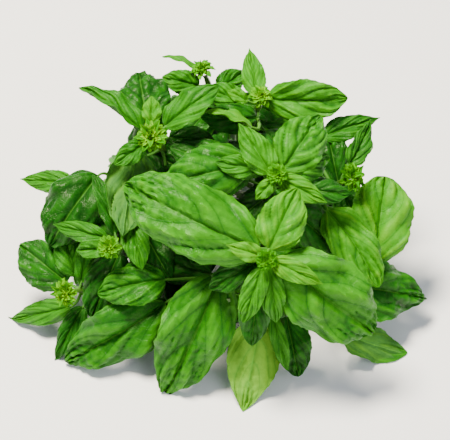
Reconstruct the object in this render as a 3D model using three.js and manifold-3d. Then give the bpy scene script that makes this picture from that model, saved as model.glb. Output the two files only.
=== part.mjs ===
// Bunch of fresh basil lying on a surface, with its leafy tips turned up and forward.
// Units are millimetres, +Z is up and -Y is the front.
// The origin is on the surface, under the middle of the gathered stalks.

import * as THREE from "three";
import { mergeVertices } from "three/addons/utils/BufferGeometryUtils.js";
import Module from "manifold-3d";

const wasm = await Module();
wasm.setup();

// Head of the bunch
// A place on it is [across, up, out]: to the right, up the leafy face, and out of that face.
const faceElevation = THREE.MathUtils.degToRad(50);
const headCentre = new THREE.Vector3(0, -118, 60);
const acrossFace = new THREE.Vector3(1, 0, 0);
const upFace = new THREE.Vector3(0, Math.sin(faceElevation), Math.cos(faceElevation));
const outOfFace = new THREE.Vector3(0, -Math.cos(faceElevation), Math.sin(faceElevation));

// Stalks: square in section, gathered in rows that lie on the surface
const stalkSide = 4.4;
const shootTipSide = 2.4;
const rowSpacing = 6.2;
const rowHeight = 5.4;
const cutEndFan = 1.12;
const cutEndReach = 30;
const cutEndStagger = 3;
const layerSetback = 2;
const bendFrom = -12;
const bendStagger = 6;
const leaveStraight = 0.34;
const arriveStraight = 0.36;
const stemSteps = 8;

// Leaves
const bladeThickness = 0.7;
const petioleWidth = 1.9;
const petioleThickness = 1.5;
const clearance = 0.4;
const broadStations = [0, 0.1, 0.28, 0.5, 0.72, 0.9, 1];
const slimStations = [0, 0.15, 0.45, 0.8, 1];
const broadRows = [-1, -0.55, 0, 0.55, 1];
const slimRows = [-1, 0, 1];
const broadLeafWidth = 22;
const baseTaper = 0.44;
const tipTaper = 0.57;
const toothDepth = 0.035;
const marginWaves = 2.4;
const tipHalfWidth = 0.45;
const freeBladeFrom = 0.25;

// Ways in which a leaf is bent clear of its neighbours, tried in this order:
// how far its tip comes out of the face, its turn about its own length, and its size
const lifts = [0, -4, 4, -8, 8, -12, 12, -17, 17, -23, 23, -30];
const turns = [0, 12, -12, 24, -24];
const shrinks = [1, 0.9, 0.78, 0.65];
const baseLift = 0.5;
const shownWave = 0.1;
const wavePhaseStep = 1.7;

// Side leaves lower on the stems
const sideLeafPetiole = 11;
const sideLeafLength = 50;
const sideLeafGrowth = 0.36;
const sideLeafTries = 20;
const sideSizes = [1, 0.78, 0.6];
const sidePitches = [66, 82, 50, 98, 114];
const sidePairTurn = 45;
const sideTurnPerTry = 9;
const sideShortest = 0.74;
const sideWidths = [0.54, 0.64];
const sideBends = [30, 65];
const sideRoll = 20;
const sideFold = 22;
const sideCurl = 55;
const sideWave = 0.05;
const innerDepth = 36;
const depthFall = 46;
const bareStalkFrom = 12;

// Steps of the even scatter that every draw is taken from
const goldenStep = 0.618034;
const scatterSteps = { level: 31, half: 17, attempt: 5, up: 3 };

// How far from the head's middle the side leaves may reach, at each sixteenth of a turn from the right
const sideReach = [108, 86, 90, 88, 90, 90, 80, 80, 94, 104, 100, 88, 84, 84, 84, 104];

// The cut shoots, each with its stem's tip and heading, its place in the sheaf as [layer, column],
// the leaves that show, and how far below its tip each pair of side leaves stands.
// A leaf leaves its stem a length below the tip, and its blade runs from base to tip.
// Its width is in millimetres, and bend, fold, curl and roll are in degrees: bend arches it along
// its length, fold lifts its halves, curl turns its margins down, and roll turns it over.
// A taper above the usual one draws its tip out to a sharper point.
const shoots = [
  {
    name: "shoot_front",
    tip: [28, -17, 66],
    lean: [0.05, -0.1, 1],
    row: [0, 1],
    leaves: [
      {
        below: 9, base: [24, -12, 60], tip: [-54, 26, 52],
        width: 49, bend: 34, fold: 20, curl: 70, roll: -6, taper: 0.5,
      },
      {
        below: 9, base: [36, -18, 60], tip: [91, -60, 36],
        width: 51, bend: 40, fold: 22, curl: 66, roll: 8, taper: 0.52,
      },
      {
        below: 6, base: [30, -11, 63], tip: [46, 23, 60],
        width: 29, bend: 30, fold: 24, curl: 50, taper: 0.62,
      },
      {
        below: 4, base: [32, -18, 66], tip: [60, -31, 64],
        width: 14, bend: 30, fold: 24, curl: 40, taper: 0.8,
      },
      {
        below: 4, base: [25, -15, 66], tip: [6, -9, 68],
        width: 12, bend: 30, fold: 24, curl: 40, taper: 0.8,
      },
      { below: 6, base: [26, -22, 62], tip: [15, -53, 54], width: 15, bend: 36, fold: 24, curl: 40 },
      { below: 6, base: [30, -23, 62], tip: [34, -53, 48], width: 15, bend: 36, fold: 24, curl: 40 },
      { below: 12, base: [23, -33, 48], tip: [20, -67, 40], width: 20, bend: 40, fold: 20, curl: 50 },
      { below: 14, base: [24, -18, 50], tip: [-4, -34, 42], width: 19, bend: 40, fold: 20, curl: 50 },
    ],
    levels: [24, 52],
  },
  {
    name: "shoot_upper_middle",
    tip: [34, 32, 46],
    lean: [0.15, 0.2, 1],
    row: [1, 0.5],
    leaves: [
      {
        below: 5, base: [31, 34, 44], tip: [13, 62, 42],
        width: 19, bend: 30, fold: 24, curl: 44, taper: 0.8,
      },
      { below: 8, base: [38, 36, 40], tip: [60, 67, 34], width: 31, bend: 34, fold: 20, curl: 50 },
      { below: 6, base: [39, 34, 42], tip: [65, 43, 36], width: 21, bend: 70, fold: 20, curl: 60 },
      {
        below: 5, base: [37, 30, 44], tip: [63, 17, 44],
        width: 15, bend: 30, fold: 24, curl: 40, taper: 0.8,
      },
      { below: 4, base: [32, 29, 46], tip: [23, 19, 48], width: 10, bend: 30, fold: 24, curl: 40 },
      { below: 22, base: [48, 24, 32], tip: [77, 22, 28], width: 18, bend: 50, fold: 14, curl: 70 },
      { below: 26, base: [20, 40, 26], tip: [-32, 28, 30], width: 38, bend: 46, fold: 18, curl: 80 },
      { below: 18, base: [26, 36, 34], tip: [0, 40, 36], width: 15, bend: 40, fold: 20, curl: 50 },
      { below: 46, base: [34, 24, 14], tip: [8, 4, 14], width: 21, bend: 40, fold: 20, curl: 50 },
    ],
    levels: [34, 62],
  },
  {
    name: "shoot_upper_left",
    tip: [-38, 54, 26],
    lean: [-0.2, 0.25, 1],
    row: [1, -0.5],
    leaves: [
      {
        below: 10, base: [-47, 60, 16], tip: [-83, 85, 6],
        width: 20, bend: 24, fold: 56, curl: 24, roll: 42, taper: 0.72,
      },
      { below: 9, base: [-40, 64, 20], tip: [-40, 79, 20], width: 12, bend: 24, fold: 24, curl: 40 },
      {
        below: 8, base: [-32, 62, 20], tip: [-1, 85, 20],
        width: 20, bend: 34, fold: 30, curl: 40, roll: -18,
      },
      { below: 6, base: [-45, 51, 22], tip: [-61, 40, 26], width: 14, bend: 34, fold: 24, curl: 40 },
      {
        below: 12, base: [-49, 47, 16], tip: [-57, -2, 30],
        width: 31, bend: 44, fold: 14, curl: 50, roll: 172, taper: 0.75,
      },
      {
        below: 16, base: [-43, 65, 8], tip: [-48, 94, -8],
        width: 36, bend: 44, fold: 20, curl: 70, taper: 0.44,
      },
      { below: 22, base: [-30, 56, 4], tip: [-4, 54, 0], width: 18, bend: 40, fold: 20, curl: 50 },
      { below: 26, base: [-44, 50, 0], tip: [-16, 32, 4], width: 22, bend: 40, fold: 20, curl: 50 },
    ],
    levels: [18, 38],
  },
  {
    name: "shoot_top",
    tip: [25, 78, 2],
    lean: [0.1, 0.5, 0.9],
    row: [2, 0.4],
    leaves: [
      {
        below: 4, base: [23, 82, -2], tip: [19, 109, -12],
        width: 15, bend: 28, fold: 26, curl: 40, taper: 0.85,
      },
      {
        below: 6, base: [30, 79, -2], tip: [77, 80, -6],
        width: 27, bend: 32, fold: 26, curl: 36, roll: 14, taper: 0.62,
      },
      { below: 4, base: [18, 78, 2], tip: [6, 84, 4], width: 8, bend: 28, fold: 24, curl: 40 },
      { below: 7, base: [17, 75, 0], tip: [-6, 86, 2], width: 17, bend: 32, fold: 22, curl: 50 },
      {
        below: 11, base: [23, 68, 0], tip: [-9, 68, 8],
        width: 20, bend: 44, fold: 20, curl: 60, roll: -14,
      },
      {
        below: 16, base: [20, 62, 12], tip: [-9, 71, 20],
        width: 14, bend: 34, fold: 30, curl: 40, taper: 0.9, roll: 66,
      },
    ],
    levels: [18, 36],
  },
  {
    name: "shoot_top_left",
    tip: [-8, 94, -22],
    lean: [-0.3, 0.7, 0.6],
    row: [2, -0.6],
    leaves: [
      {
        below: 4, base: [-13, 98, -24], tip: [-34, 106, -28],
        width: 6, bend: 60, fold: 20, curl: 30, roll: 52,
      },
      { below: 7, base: [-12, 88, -24], tip: [-33, 93, -20], width: 16, bend: 34, fold: 24, curl: 50 },
      { below: 8, base: [0, 86, -26], tip: [15, 96, -24], width: 16, bend: 34, fold: 24, curl: 50 },
    ],
    levels: [16, 30, 46],
  },
  {
    name: "shoot_right",
    tip: [77, 30, 5],
    lean: [0.5, 0.25, 0.8],
    row: [1, 1.5],
    leaves: [
      {
        below: 6, base: [79, 40, -1], tip: [92, 66, -10],
        width: 16, bend: 24, fold: 34, curl: 30, roll: 26, taper: 0.9,
      },
      {
        below: 14, base: [64, 57, -10], tip: [97, 68, -18],
        width: 16, bend: 34, fold: 24, curl: 50, roll: -10, taper: 0.9,
      },
      {
        below: 16, base: [66, 12, 8], tip: [96, -33, 10],
        width: 30, bend: 50, fold: 26, curl: 60, roll: -16,
      },
      { below: 24, base: [73, 28, -10], tip: [66, 62, -14], width: 21, bend: 40, fold: 20, curl: 50 },
      { below: 20, base: [74, 26, -10], tip: [86, 2, -12], width: 17, bend: 40, fold: 20, curl: 50 },
    ],
    levels: [28, 46, 68],
  },
  {
    name: "shoot_left",
    tip: [-63, -10, 27],
    lean: [-0.4, 0, 1],
    row: [0, -1],
    leaves: [
      {
        below: 5, base: [-67, -5, 24], tip: [-98, 3, 14],
        width: 13, bend: 34, fold: 24, curl: 40, taper: 0.8,
      },
      { below: 4, base: [-67, -11, 25], tip: [-84, -12, 20], width: 12, bend: 44, fold: 40, curl: 30 },
      {
        below: 7, base: [-62, -2, 20], tip: [-75, 32, 16],
        width: 13, bend: 36, fold: 34, curl: 40, roll: 24,
      },
      { below: 12, base: [-53, 8, 16], tip: [-46, -22, 24], width: 17, bend: 34, fold: 24, curl: 40 },
      { below: 18, base: [-60, -14, 8], tip: [-76, -52, 0], width: 28, bend: 40, fold: 20, curl: 50 },
      { below: 26, base: [-48, 4, 2], tip: [-30, -28, 6], width: 25, bend: 40, fold: 20, curl: 50 },
    ],
    levels: [18, 44],
  },
  {
    name: "shoot_lower_left",
    tip: [-88, -37, 2],
    lean: [-0.6, -0.1, 0.8],
    row: [0, -2],
    leaves: [
      { below: 8, base: [-92, -32, -6], tip: [-120, -10, -16], width: 32, bend: 40, fold: 16, curl: 60 },
      { below: 9, base: [-86, -28, -6], tip: [-95, -2, -10], width: 19, bend: 34, fold: 24, curl: 50 },
      { below: 5, base: [-83, -32, 0], tip: [-80, -8, 0], width: 11, bend: 30, fold: 34, curl: 40 },
      {
        below: 8, base: [-90, -47, -8], tip: [-128, -55, -34],
        width: 16, bend: 34, fold: 22, curl: 50, taper: 1,
      },
      {
        below: 8, base: [-82, -47, -6], tip: [-99, -80, -14],
        width: 14, bend: 50, fold: 24, curl: 40, roll: 10, taper: 0.9,
      },
    ],
    levels: [20, 36, 54],
  },
  {
    name: "shoot_bottom",
    tip: [6, -42, 30],
    lean: [0, -0.5, 0.8],
    row: [0, 0],
    leaves: [
      {
        below: 8, base: [0, -28, 30], tip: [-32, -98, 2],
        width: 46, bend: 54, fold: 26, curl: 66, roll: -10, taper: 0.72,
      },
      {
        below: 12, base: [26, -54, 18], tip: [15, -109, 12],
        width: 34, bend: 26, fold: 8, curl: 34, roll: 176, taper: 0.85,
      },
      { below: 8, base: [32, -50, 24], tip: [41, -83, 16], width: 10, bend: 34, fold: 24, curl: 40 },
      { below: 14, base: [41, -52, 12], tip: [48, -87, 6], width: 24, bend: 34, fold: 24, curl: 50 },
      {
        below: 22, base: [-32, -44, 10], tip: [-92, -79, -8],
        width: 40, bend: 54, fold: 26, curl: 66, roll: -14, taper: 0.7,
      },
      {
        below: 28, base: [-32, -30, 12], tip: [-71, -38, 16],
        width: 27, bend: 60, fold: 30, curl: 60, roll: 14,
      },
    ],
    levels: [24, 48],
  },
  {
    name: "shoot_lower_right",
    tip: [66, -42, 4],
    lean: [0.7, -0.2, 0.6],
    row: [0, 2],
    leaves: [
      {
        below: 8, base: [80, -34, 2], tip: [126, -42, -22],
        width: 38, bend: 44, fold: 24, curl: 60, roll: -8, taper: 0.95,
      },
      {
        below: 8, base: [72, -60, 8], tip: [114, -76, -16],
        width: 23, bend: 40, fold: 14, curl: 50, roll: 160,
      },
      {
        below: 14, base: [94, -20, -8], tip: [101, 31, -8],
        width: 40, bend: 34, fold: 26, curl: 40, taper: 0.44, roll: 8,
      },
    ],
    levels: [20, 36, 54],
  },
  {
    name: "shoot_far_left",
    tip: [-70, 30, -19],
    lean: [-0.8, 0.3, 0.4],
    row: [1, -1.5],
    leaves: [
      {
        below: 8, base: [-88, 28, -14], tip: [-120, 31, -26],
        width: 15, bend: 34, fold: 24, curl: 50, taper: 0.9,
      },
      {
        below: 10, base: [-73, 33, -6], tip: [-101, -8, -5],
        width: 41, bend: 76, fold: 20, curl: 70, roll: 6,
      },
    ],
    levels: [18, 40],
  },
  {
    name: "shoot_back_right",
    tip: [62, 60, -42],
    lean: [0.6, 0.6, 0.1],
    row: [2, 1.4],
    leaves: [],
    levels: [5, 18, 34, 50],
  },
  {
    name: "shoot_back_left",
    tip: [-46, 72, -50],
    lean: [-0.5, 0.8, 0],
    row: [2, -1.6],
    leaves: [],
    levels: [5, 18, 34, 50],
  },
  {
    name: "shoot_back_middle",
    tip: [6, 78, -54],
    lean: [0.1, 1, -0.1],
    row: [3, 0],
    leaves: [],
    levels: [5, 20],
  },
  {
    name: "shoot_side_left",
    tip: [-96, 2, -38],
    lean: [-0.9, 0.1, 0.1],
    row: [1, -2.5],
    leaves: [],
    levels: [5, 18, 34, 50],
  },
  {
    name: "shoot_side_right",
    tip: [100, -8, -40],
    lean: [0.9, 0, 0.1],
    row: [1, 2.5],
    leaves: [],
    levels: [5, 20, 40],
  },
];

// Clusters of young leaves and buds at the tips
const buds = [
  { on: "shoot_front", size: 7, bracts: 5 },
  { on: "shoot_upper_middle", size: 7, bracts: 5 },
  { on: "shoot_upper_left", size: 13, bracts: 9 },
  { on: "shoot_top", size: 8, bracts: 6 },
  { on: "shoot_top_left", size: 8, bracts: 5 },
  { on: "shoot_right", size: 11, bracts: 7 },
  { on: "shoot_left", size: 8, bracts: 6 },
  { on: "shoot_lower_left", size: 11, bracts: 8 },
];

// Bud clusters, as shares of a cluster's size: a core, and bracts that open from its middle outwards
const goldenAngle = 2.39996;
const coreShare = 0.38;
const seatHeight = 1.2;
const bractOpenings = [0.15, 1.4];
const bractShortest = 0.75;
const bractRadius = 0.22;
const bractFlatness = 0.5;
const bractFoot = 0.12;

const leafFinish = { color: 0x3f8f1c, roughness: 0.42, metalness: 0, side: THREE.DoubleSide };
const budFinish = { color: 0x9fcf2a, roughness: 0.55, metalness: 0, side: THREE.DoubleSide };

function onHead([across, up, out]) {
  return headCentre
    .clone()
    .addScaledVector(acrossFace, across)
    .addScaledVector(upFace, up)
    .addScaledVector(outOfFace, out);
}

function headDirection([across, up, out]) {
  return new THREE.Vector3()
    .addScaledVector(acrossFace, across)
    .addScaledVector(upFace, up)
    .addScaledVector(outOfFace, out)
    .normalize();
}

function toFace(point) {
  const offset = point.clone().sub(headCentre);
  return [offset.dot(acrossFace), offset.dot(upFace), offset.dot(outOfFace)];
}

// A closed skin over equal rings of points, one ring after another, with its two ends shut
function skin(rings) {
  const count = rings[0].length;
  const rows = count / 2;
  const positions = rings.flat().flatMap((point) => point.toArray());
  const triangles = [];
  const addQuad = (a, b, c, d, flip) => {
    if (flip) {
      triangles.push(a, b, d, b, c, d);
    } else {
      triangles.push(a, b, c, a, c, d);
    }
  };
  for (let ring = 0; ring < rings.length - 1; ring += 1) {
    const here = ring * count;
    const next = here + count;
    for (let i = 0; i < count; i += 1) {
      const j = (i + 1) % count;
      const across = i < rows ? i : count - 2 - i;
      const leftHalf = across < (rows - 1) / 2;
      const underside = i >= rows;
      addQuad(here + i, here + j, next + j, next + i, leftHalf !== underside);
    }
  }
  const last = (rings.length - 1) * count;
  for (let i = 0; i < rows - 1; i += 1) {
    const under = count - 1 - i;
    addQuad(i, under, under - 1, i + 1, false);
    addQuad(last + i, last + i + 1, last + under - 1, last + under, false);
  }
  return solidFrom(positions, triangles);
}

function solidFrom(positions, triangles) {
  const mesh = new wasm.Mesh({
    numProp: 3,
    vertProperties: new Float32Array(positions),
    triVerts: new Uint32Array(triangles),
  });
  return new wasm.Manifold(mesh);
}

function boxOf(solid) {
  const { vertProperties } = solid.getMesh();
  return new THREE.Box3().setFromArray(vertProperties);
}

// Stems
function stemCurve(shoot) {
  const [layer, column] = shoot.row;
  const x = column * rowSpacing;
  const z = stalkSide / 2 + layer * rowHeight;
  const cutEndY = cutEndReach - Math.abs(column) * cutEndStagger + layer * layerSetback;
  const cutEnd = new THREE.Vector3(x * cutEndFan, cutEndY, z);
  const bendStart = new THREE.Vector3(x, bendFrom + layer * bendStagger, z);
  const tip = onHead(shoot.tip);
  const reach = bendStart.distanceTo(tip);
  const forward = bendStart.clone().sub(cutEnd).normalize();
  const leave = bendStart.clone().addScaledVector(forward, reach * leaveStraight);
  const arrive = tip.clone().addScaledVector(headDirection(shoot.lean), -reach * arriveStraight);
  return { cutEnd, bend: new THREE.CubicBezierCurve3(bendStart, leave, arrive, tip) };
}

function stemRing(centre, direction, side) {
  const across = acrossFace.clone().addScaledVector(direction, -direction.x).normalize();
  const up = new THREE.Vector3().crossVectors(across, direction).normalize();
  const corners = [
    [-1, 1],
    [1, 1],
    [1, -1],
    [-1, -1],
  ];
  return corners.map(([a, b]) =>
    centre.clone().addScaledVector(across, (a * side) / 2).addScaledVector(up, (b * side) / 2),
  );
}

function stemSolid(curve) {
  const forward = new THREE.Vector3().subVectors(curve.bend.v0, curve.cutEnd).normalize();
  const rings = [stemRing(curve.cutEnd, forward, stalkSide)];
  for (let i = 0; i <= stemSteps; i += 1) {
    const q = i / stemSteps;
    const side = THREE.MathUtils.lerp(stalkSide, shootTipSide, q);
    rings.push(stemRing(curve.bend.getPoint(q), curve.bend.getTangent(q), side));
  }
  return skin(rings);
}

// How far along its bend a stem lies a given length below its tip
function stemPlace(curve, below) {
  const length = curve.bend.getLength();
  const q = Math.max(1 - below / length, 0);
  return { point: curve.bend.getPointAt(q), direction: curve.bend.getTangentAt(q) };
}

// Leaves
function halfWidth(leaf, s) {
  const taper = leaf.taper ?? tipTaper;
  const ovate = Math.pow(s, baseTaper) * Math.pow(1 - s, taper);
  const widestAt = baseTaper / (baseTaper + taper);
  const widest = Math.pow(widestAt, baseTaper) * Math.pow(1 - widestAt, taper);
  return (leaf.width / 2) * (ovate / widest);
}

function leafFrame(leaf) {
  const chord = leaf.tip.clone().sub(leaf.base);
  const along = chord.clone().normalize();
  const face = leaf.facing.clone().addScaledVector(along, -leaf.facing.dot(along)).normalize();
  face.applyAxisAngle(along, THREE.MathUtils.degToRad(leaf.roll));
  const side = new THREE.Vector3().crossVectors(along, face);
  return { length: chord.length(), along, face, side };
}

// The point of the blade at s of its length and t of its half width, with its upward normal
function bladePoint(leaf, frame, s, t) {
  const bend = THREE.MathUtils.degToRad(leaf.bend);
  const fold = THREE.MathUtils.degToRad(leaf.fold);
  const curl = THREE.MathUtils.degToRad(leaf.curl);
  const arc = (frame.length * (bend / 2)) / Math.sin(bend / 2);
  const slope = bend / 2 - bend * s;
  const forward = (arc * (Math.sin(bend / 2) - Math.sin(slope))) / bend;
  const rise = (arc * (Math.cos(slope) - Math.cos(bend / 2))) / bend;
  const sectionUp = frame.face.clone().multiplyScalar(Math.cos(slope));
  sectionUp.addScaledVector(frame.along, -Math.sin(slope));
  const reach = Math.abs(t);
  const width = Math.max(halfWidth(leaf, s), tipHalfWidth) + leaf.extra;
  const tilt = fold - curl * reach;
  const outward = (Math.sign(t) * width * (Math.sin(fold) - Math.sin(tilt))) / curl;
  const wave = Math.sin(2 * Math.PI * marginWaves * s + leaf.phase + (t < 0 ? 2 : 0));
  const ruffle = leaf.wave * wave * t * t * (halfWidth(leaf, s) / leaf.width) * 2;
  const lift = (width * (Math.cos(tilt) - Math.cos(fold))) / curl + ruffle;
  const point = leaf.base.clone();
  point.addScaledVector(frame.along, forward).addScaledVector(frame.face, rise);
  point.addScaledVector(frame.side, outward).addScaledVector(sectionUp, lift);
  const normal = sectionUp.clone().multiplyScalar(Math.cos(tilt));
  normal.addScaledVector(frame.side, -Math.sign(t) * Math.sin(tilt));
  return { point, normal };
}

// A point that would go through the surface lies down on it
function layOnSurface({ point, normal }) {
  if (point.z < bladeThickness / 2) {
    point.z = bladeThickness / 2;
    normal.set(0, 0, Math.sign(normal.z) || 1);
  }
}

function bladeRing(leaf, frame, s, rows, tooth) {
  const thickness = bladeThickness / 2 + leaf.extra;
  const points = rows.map((t) => bladePoint(leaf, frame, s, t * tooth));
  points.forEach(layOnSurface);
  const top = points.map(({ point, normal }) => point.clone().addScaledVector(normal, thickness));
  const under = points.map(({ point, normal }) => point.clone().addScaledVector(normal, -thickness));
  return [...top, ...under.reverse()];
}

function petioleRing(leaf, frame, rows) {
  const direction = leaf.base.clone().sub(leaf.root).normalize();
  const turn = new THREE.Quaternion().setFromUnitVectors(frame.along, direction);
  const side = frame.side.clone().applyQuaternion(turn);
  const face = frame.face.clone().applyQuaternion(turn);
  const place = (t, height) =>
    leaf.root
      .clone()
      .addScaledVector(side, (t * petioleWidth) / 2)
      .addScaledVector(face, (height * petioleThickness) / 2);
  const top = rows.map((t) => place(t, 1));
  const under = rows.map((t) => place(t, -1));
  return [...top, ...under.reverse()];
}

function leafSolid(leaf, from = -1) {
  const frame = leafFrame(leaf);
  const broad = leaf.shown && leaf.width > broadLeafWidth;
  const rows = broad ? broadRows : slimRows;
  const stations = broad ? broadStations : slimStations;
  const rings = from < 0 ? [petioleRing(leaf, frame, rows)] : [];
  stations.forEach((s, index) => {
    if (s >= from) {
      const tooth = 1 + (index % 2 === 0 ? toothDepth : -toothDepth);
      rings.push(bladeRing(leaf, frame, s, rows, tooth));
    }
  });
  return skin(rings);
}

// Everything placed so far, so that what comes next can be bent clear of it
const placed = [];

function place(owner, solid, kind) {
  placed.push({ owner, solid, kind, box: boxOf(solid) });
}

function meets(solid, others) {
  const box = boxOf(solid);
  return others.some((other) => {
    if (!other.box.intersectsBox(box)) {
      return false;
    }
    const shared = solid.intersect(other.solid);
    const meeting = !shared.isEmpty();
    shared.delete();
    return meeting;
  });
}

function isClear(leaf, owner) {
  const guard = leafSolid({ ...leaf, extra: clearance });
  const others = placed.filter((piece) => piece.owner !== owner && piece.kind !== "blade");
  const clearOfOthers = !meets(guard, others);
  guard.delete();
  if (!clearOfOthers) {
    return false;
  }
  const blade = leafSolid({ ...leaf, extra: clearance }, freeBladeFrom);
  const blades = placed.filter((piece) => piece.owner === owner && piece.kind === "blade");
  const clearOfBlades = !meets(blade, blades);
  blade.delete();
  return clearOfBlades;
}

function keepLeaf(leaf, owner) {
  place(owner, leafSolid(leaf), "leaf");
  place(owner, leafSolid(leaf, freeBladeFrom), "blade");
}

// A leaf that the bunch shows, at its own place on the head
function shownLeaf(entry, root, index, lift, turn, shrink) {
  const base = onHead(entry.base).addScaledVector(outOfFace, lift * baseLift);
  const tip = onHead(entry.tip).addScaledVector(outOfFace, lift);
  return {
    shown: true,
    root,
    base,
    tip: tip.lerp(base, 1 - shrink),
    facing: outOfFace,
    width: entry.width * shrink,
    bend: entry.bend,
    fold: entry.fold,
    curl: entry.curl,
    taper: entry.taper,
    roll: (entry.roll ?? 0) + turn,
    wave: entry.width * shownWave,
    phase: index * wavePhaseStep,
    extra: 0,
  };
}

function placeShownLeaf(entry, shoot, index) {
  const root = stemPlace(shoot.curve, entry.below).point;
  for (const shrink of shrinks) {
    for (const turn of turns) {
      for (const lift of lifts) {
        const leaf = shownLeaf(entry, root, index, lift, turn, shrink);
        if (isClear(leaf, shoot.name)) {
          keepLeaf(leaf, shoot.name);
          return;
        }
      }
    }
  }
}

// A side leaf, one of a pair that stands across the pair above it
function sideLeaf(shoot, below, level, half, size, attempt) {
  const { point, direction } = stemPlace(shoot.curve, below);
  const { lerp, degToRad } = THREE.MathUtils;
  const steps = level * scatterSteps.level + half * scatterSteps.half + attempt * scatterSteps.attempt;
  const number = steps + shoot.tip[0] + shoot.tip[1] * scatterSteps.up;
  const draw = (step) => (((number + step) * goldenStep) % 1 + 1) % 1;
  const across = acrossFace.clone().addScaledVector(direction, -direction.x).normalize();
  const up = new THREE.Vector3().crossVectors(across, direction).normalize();
  const pairTurn = level * 90 + half * 180 + sidePairTurn;
  const angle = degToRad(pairTurn + (draw(1) - 0.5) * attempt * sideTurnPerTry);
  const outward = across.clone().multiplyScalar(Math.cos(angle)).addScaledVector(up, Math.sin(angle));
  const pitch = degToRad(sidePitches[attempt % sidePitches.length]);
  const heading = outward.multiplyScalar(Math.sin(pitch)).addScaledVector(direction, Math.cos(pitch));
  const length = (sideLeafLength + below * sideLeafGrowth) * lerp(1, sideShortest, draw(2)) * size;
  const base = point.clone().addScaledVector(heading, sideLeafPetiole);
  return {
    root: point,
    base,
    tip: base.clone().addScaledVector(heading, length),
    facing: direction,
    width: length * lerp(...sideWidths, draw(3)),
    bend: lerp(...sideBends, draw(4)),
    fold: sideFold,
    curl: sideCurl,
    roll: lerp(-sideRoll, sideRoll, draw(5)),
    wave: length * sideWave,
    phase: number,
    extra: 0,
  };
}

function reachTowards(across, up) {
  const turn = (Math.atan2(up, across) / (2 * Math.PI) + 1) * sideReach.length;
  const before = sideReach[Math.floor(turn) % sideReach.length];
  const after = sideReach[Math.ceil(turn) % sideReach.length];
  return THREE.MathUtils.lerp(before, after, turn % 1);
}

// Side leaves stay behind the leaves that the bunch shows, above the surface, and off the bare stalks
function staysInside(leaf) {
  const frame = leafFrame(leaf);
  const probes = [[0.1, 0], [0.45, -1], [0.45, 0], [0.45, 1], [0.75, -1], [0.75, 1], [1, 0]];
  return probes.every(([s, t]) => {
    const { point } = bladePoint(leaf, frame, s, t);
    const [across, up, out] = toFace(point);
    const spread = (Math.hypot(across, up) / reachTowards(across, up)) ** 2;
    const inner = spread < 1 && out < innerDepth - depthFall * spread;
    return inner && point.z > bladeThickness && point.y < bareStalkFrom;
  });
}

function placeSideLeaf(shoot, below, level, half) {
  for (const size of sideSizes) {
    for (let attempt = 0; attempt < sideLeafTries; attempt += 1) {
      const leaf = sideLeaf(shoot, below, level, half, size, attempt);
      if (staysInside(leaf) && isClear(leaf, shoot.name)) {
        keepLeaf(leaf, shoot.name);
        return;
      }
    }
  }
}

// Bud clusters: bracts that open round a small core
function budSolid(bud, shoot) {
  const axis = headDirection(shoot.lean);
  const coreRadius = bud.size * coreShare;
  const seat = onHead(shoot.tip).addScaledVector(axis, coreRadius + seatHeight);
  const across = acrossFace.clone().addScaledVector(axis, -axis.x).normalize();
  const up = new THREE.Vector3().crossVectors(axis, across);
  const core = new THREE.OctahedronGeometry(coreRadius).translate(seat.x, seat.y, seat.z);
  let cluster = closedSolid(core);
  for (let i = 0; i < bud.bracts; i += 1) {
    const around = i * goldenAngle;
    const share = i / bud.bracts;
    const open = THREE.MathUtils.lerp(...bractOpenings, Math.sqrt(share));
    const length = bud.size * THREE.MathUtils.lerp(1, bractShortest, share);
    const bract = new THREE.ConeGeometry(bud.size * bractRadius, length, 3);
    bract.scale(1, 1, bractFlatness);
    bract.translate(0, length / 2 + bud.size * bractFoot, 0);
    const heading = axis.clone().multiplyScalar(Math.cos(open));
    heading.addScaledVector(across, Math.sin(open) * Math.cos(around));
    heading.addScaledVector(up, Math.sin(open) * Math.sin(around));
    const thin = axis.clone().addScaledVector(heading, -axis.dot(heading)).normalize();
    const wide = new THREE.Vector3().crossVectors(heading, thin);
    bract.applyMatrix4(new THREE.Matrix4().makeBasis(wide, heading, thin).setPosition(seat));
    cluster = cluster.add(closedSolid(bract));
  }
  return cluster;
}

function closedSolid(geometry) {
  geometry.deleteAttribute("normal");
  geometry.deleteAttribute("uv");
  const merged = mergeVertices(geometry);
  return solidFrom(merged.attributes.position.array, merged.index.array);
}

function meshFrom(solid, name, finish) {
  const { vertProperties, triVerts } = solid.getMesh();
  const geometry = new THREE.BufferGeometry();
  geometry.setAttribute("position", new THREE.BufferAttribute(vertProperties, 3));
  geometry.setIndex(new THREE.BufferAttribute(triVerts, 1));
  geometry.computeVertexNormals();
  const mesh = new THREE.Mesh(geometry, new THREE.MeshStandardMaterial(finish));
  mesh.name = name;
  return mesh;
}

// Stems first, then bud clusters, then the leaves that show, then the side leaves
shoots.forEach((shoot) => {
  shoot.curve = stemCurve(shoot);
  place(shoot.name, stemSolid(shoot.curve), "stem");
});
buds.forEach((bud) => {
  const shoot = shoots.find(({ name }) => name === bud.on);
  place(bud.on.replace("shoot", "buds"), budSolid(bud, shoot), "bud");
});
shoots.forEach((shoot) => {
  shoot.leaves.forEach((entry, index) => placeShownLeaf(entry, shoot, index));
});
shoots.forEach((shoot) => {
  shoot.levels.forEach((below, level) => {
    [0, 1].forEach((half) => placeSideLeaf(shoot, below, level, half));
  });
});

const bunch = new THREE.Group();
bunch.name = "basil_bunch";
shoots.forEach(({ name }) => {
  const grown = placed.filter(({ owner, kind }) => owner === name && kind !== "blade");
  const solid = grown.map((piece) => piece.solid).reduce((whole, piece) => whole.add(piece));
  bunch.add(meshFrom(solid, name, leafFinish));
});
placed
  .filter(({ kind }) => kind === "bud")
  .forEach(({ owner, solid }) => bunch.add(meshFrom(solid, owner, budFinish)));

export default bunch;
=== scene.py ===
import math
import bpy
import numpy as np
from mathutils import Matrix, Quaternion, Vector
from mathutils.kdtree import KDTree


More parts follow.
